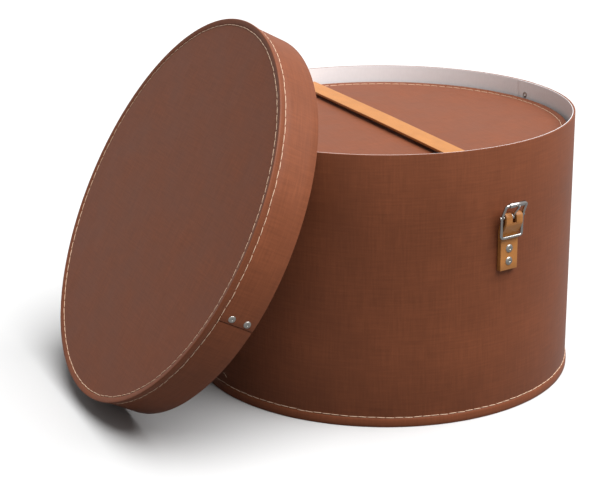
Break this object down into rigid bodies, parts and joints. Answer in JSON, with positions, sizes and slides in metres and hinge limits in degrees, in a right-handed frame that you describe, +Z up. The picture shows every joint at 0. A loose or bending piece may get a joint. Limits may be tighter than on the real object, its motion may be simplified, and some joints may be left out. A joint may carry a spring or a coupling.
{
  "type": "hat box",
  "caption": "Round fibreboard hat box with a leather strap buckle, its deep lid leaning on it and a smaller strapped box nested inside.",
  "frame": {"origin": "centre of the big box's flat underside, on its axis", "axes": "+Z up along the box's axis; the lid leans on the box from -X; the buckle is on the -Y side"},
  "size_m": [0.4915, 0.667, 0.3415],
  "materials": {
    "fibreboard": "matte brown fibreboard with a fine linen grain",
    "lining_paper": "matte white paper",
    "tan_leather": "vegetable tanned, satin, cut edges",
    "chromed_steel": "bright plated wire",
    "nickelled_rivet": "nickel plated",
    "linen_thread": "waxed pale thread"
  },
  "bodies": {
    "box": {"outer_wall": "fibreboard", "outer_wall_lining": "lining_paper", "outer_base": "fibreboard", "outer_base_lining": "lining_paper", "outer_base_binding": "fibreboard", "outer_base_stitching": "linen_thread", "outer_seam_rivets": "nickelled_rivet", "buckle_tab": "tan_leather", "buckle_tab_rivets": "nickelled_rivet", "carry_strap_root": "tan_leather", "carry_strap_rivets": "nickelled_rivet"},
    "lid": {"lid_wall": "fibreboard", "lid_wall_lining": "lining_paper", "lid_top": "fibreboard", "lid_top_lining": "lining_paper", "lid_edge_binding": "fibreboard", "lid_face_stitching": "linen_thread", "lid_side_stitching": "linen_thread", "lid_seam_rivets": "nickelled_rivet"},
    "inner_box": {"inner_wall": "fibreboard", "inner_wall_lining": "lining_paper", "inner_base": "fibreboard", "inner_base_lining": "lining_paper", "inner_base_binding": "fibreboard", "inner_base_stitching": "linen_thread", "inner_seam_rivets": "nickelled_rivet", "inner_buckle_tab": "tan_leather", "inner_buckle_tab_rivets": "nickelled_rivet", "inner_buckle_frame": "chromed_steel", "inner_buckle_prong": "chromed_steel", "inner_strap": "tan_leather", "inner_strap_rivets": "nickelled_rivet", "inner_lid_wall": "fibreboard", "inner_lid_wall_lining": "lining_paper", "inner_lid_top": "fibreboard", "inner_lid_top_lining": "lining_paper", "inner_lid_edge_binding": "fibreboard", "inner_lid_face_stitching": "linen_thread", "inner_lid_side_stitching": "linen_thread", "inner_lid_seam_rivets": "nickelled_rivet"},
    "buckle_frame": {"buckle_frame": "chromed_steel"},
    "buckle_roller": {"buckle_roller": "chromed_steel"},
    "buckle_prong": {"buckle_prong": "chromed_steel"},
    "carry_strap": {"carry_strap": "tan_leather"},
    "inner_buckle_roller": {"inner_buckle_roller": "chromed_steel"}
  },
  "joints": [
    {"name": "lid_tip", "type": "hinge", "parent": "box", "child": "lid", "pos_m": [-0.27406, 0, 0], "axis": [0, -1, 0], "range_deg": [0, 26]},
    {"name": "inner_box_lift", "type": "slide", "parent": "box", "child": "inner_box", "axis": [0, 0, 1], "range_m": [0, 0.024]},
    {"name": "buckle_swing", "type": "hinge", "parent": "box", "child": "buckle_frame", "pos_m": [0.03144, -0.18393, 0.187], "axis": [-0.9857, -0.1685, 0], "range_deg": [0, 40]},
    {"name": "buckle_roller_spin", "type": "hinge", "parent": "buckle_frame", "child": "buckle_roller", "pos_m": [0.03235, -0.18926, 0.199], "axis": [0.9857, 0.1685, 0], "continuous": true},
    {"name": "buckle_prong_swing", "type": "hinge", "parent": "buckle_frame", "child": "buckle_prong", "pos_m": [0.03144, -0.18393, 0.187], "axis": [0.9857, 0.1685, 0], "range_deg": [0, 85]},
    {"name": "carry_strap_swing", "type": "hinge", "parent": "box", "child": "carry_strap", "pos_m": [-0.03538, 0.207, 0.182], "axis": [0.9857, 0.1685, 0], "range_deg": [0, 75]},
    {"name": "inner_roller_spin", "type": "hinge", "parent": "inner_box", "child": "inner_buckle_roller", "pos_m": [0, -0.1727, 0.1768], "axis": [1, 0, 0], "continuous": true}
  ]
}
